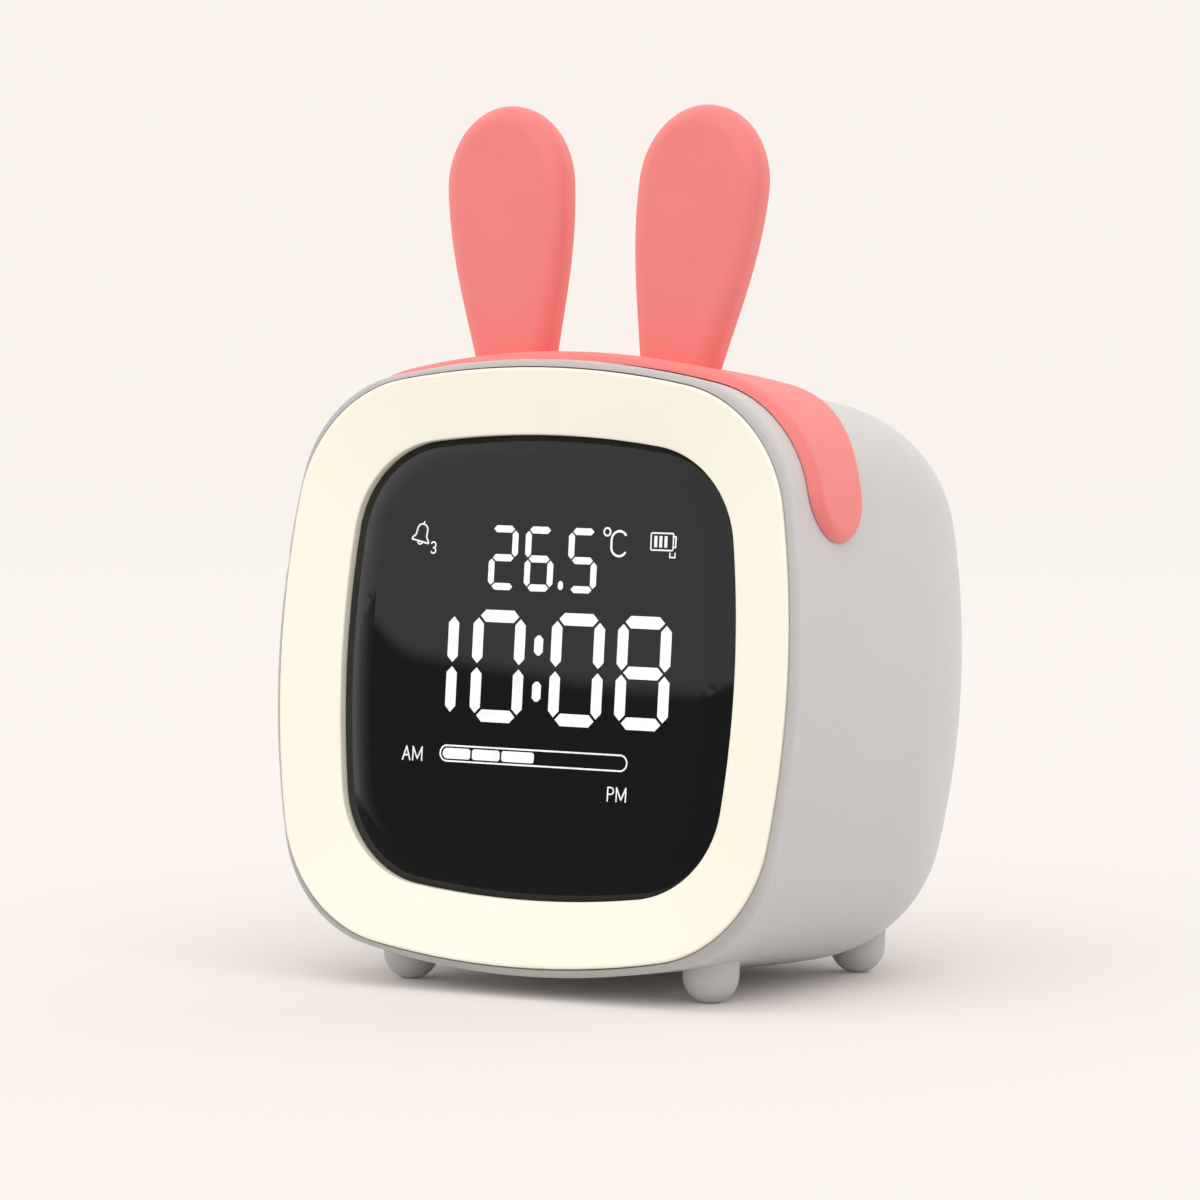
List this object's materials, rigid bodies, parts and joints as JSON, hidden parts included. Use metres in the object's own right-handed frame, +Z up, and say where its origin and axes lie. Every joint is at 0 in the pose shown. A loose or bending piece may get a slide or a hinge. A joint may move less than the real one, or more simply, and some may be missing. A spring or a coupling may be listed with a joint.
{
  "type": "kids alarm clock with night light",
  "caption": "Soft square bedside alarm clock with a smoked digital display, a cream night-light frame, round feet and a soft pink saddle band with rabbit ears.",
  "frame": {"origin": "on the table, under the middle of the clock", "axes": "+Z up, the screen faces -Y and leans back 5 degrees, +X to the viewer's right when facing the screen"},
  "size_m": [0.0894, 0.0748, 0.129],
  "materials": {
    "abs_grey": "moulded, satin",
    "diffuser_cream": "moulded, translucent",
    "smoked_acrylic": "polished",
    "lit_film": "diffusing",
    "abs_black": "moulded",
    "silicone_pink": "soft, satin",
    "foam_black": "foam",
    "abs_white": "moulded",
    "abs_dark": "moulded",
    "cell_sleeve": "shrink sleeve",
    "nickel_strip": "plated",
    "zinc_steel": "plated",
    "ferrite": "sintered",
    "pressed_paper": "pressed",
    "switch_black": "moulded",
    "header_brass": "plated",
    "bead_epoxy": "dipped",
    "led_resin": "clear",
    "flat_cable": "film",
    "silicone_grey": "soft, satin",
    "board_green": "solder mask",
    "screw_steel": "zinc plated",
    "key_grey": "moulded"
  },
  "bodies": {
    "clock": {"housing": "abs_grey", "light_ring": "diffuser_cream", "display_lens": "smoked_acrylic", "display_segments": "lit_film", "segment_reflector": "abs_black", "lens_gasket": "foam_black", "ring_reflector": "abs_white", "rear_cover": "abs_grey", "chassis": "abs_dark", "battery_holder": "abs_dark", "battery_cell": "cell_sleeve", "battery_contacts": "nickel_strip", "usb_socket": "nickel_strip", "touch_plate": "nickel_strip", "speaker_frame": "zinc_steel", "speaker_magnet": "ferrite", "speaker_cone": "pressed_paper", "speaker_gasket": "foam_black", "tact_switches": "switch_black", "power_switch_body": "switch_black", "main_chips": "switch_black", "board_connectors": "abs_white", "display_header": "header_brass", "led_header": "header_brass", "temperature_sensor": "bead_epoxy", "segment_leds": "led_resin", "ring_leds": "led_resin", "touch_lead": "flat_cable", "button_ribbon": "flat_cable", "port_ribbon": "flat_cable", "speaker_ribbon": "flat_cable", "foot_front_left": "silicone_grey", "foot_front_right": "silicone_grey", "foot_rear_left": "silicone_grey", "foot_rear_right": "silicone_grey", "segment_board": "board_green", "ring_led_board": "board_green", "main_board": "board_green", "button_board": "board_green", "port_board": "board_green", "ring_screws": "screw_steel", "main_board_screws": "screw_steel", "rear_cover_screws": "screw_steel", "board_screws": "screw_steel"},
    "ears": {"ear_band": "silicone_pink"},
    "power_slider": {"power_switch_slider": "switch_black"},
    "mode_key": {"mode_button": "key_grey", "mode_plunger": "switch_black"},
    "alarm_key": {"alarm_button": "key_grey", "alarm_plunger": "switch_black"},
    "minus_key": {"minus_button": "key_grey", "minus_plunger": "switch_black"},
    "plus_key": {"plus_button": "key_grey", "plus_plunger": "switch_black"},
    "light_key": {"light_button": "key_grey", "light_plunger": "switch_black"}
  },
  "joints": [
    {"name": "ears_lift_off", "type": "slide", "parent": "clock", "child": "ears", "axis": [0, 0.0872, 0.9962], "range_m": [0, 0.06]},
    {"name": "power_slide", "type": "slide", "parent": "clock", "child": "power_slider", "axis": [1, 0, 0], "range_m": [0, 0.002]},
    {"name": "mode_press", "type": "slide", "parent": "clock", "child": "mode_key", "axis": [0, -0.9962, 0.0872], "range_m": [0, 0.0006], "stiffness_N_per_m": 1500, "springref_m": -0.0002},
    {"name": "alarm_press", "type": "slide", "parent": "clock", "child": "alarm_key", "axis": [0, -0.9962, 0.0872], "range_m": [0, 0.0006], "stiffness_N_per_m": 1500, "springref_m": -0.0002},
    {"name": "minus_press", "type": "slide", "parent": "clock", "child": "minus_key", "axis": [0, -0.9962, 0.0872], "range_m": [0, 0.0006], "stiffness_N_per_m": 1500, "springref_m": -0.0002},
    {"name": "plus_press", "type": "slide", "parent": "clock", "child": "plus_key", "axis": [0, -0.9962, 0.0872], "range_m": [0, 0.0006], "stiffness_N_per_m": 1500, "springref_m": -0.0002},
    {"name": "light_press", "type": "slide", "parent": "clock", "child": "light_key", "axis": [0, -0.9962, 0.0872], "range_m": [0, 0.0006], "stiffness_N_per_m": 1500, "springref_m": -0.0002}
  ]
}
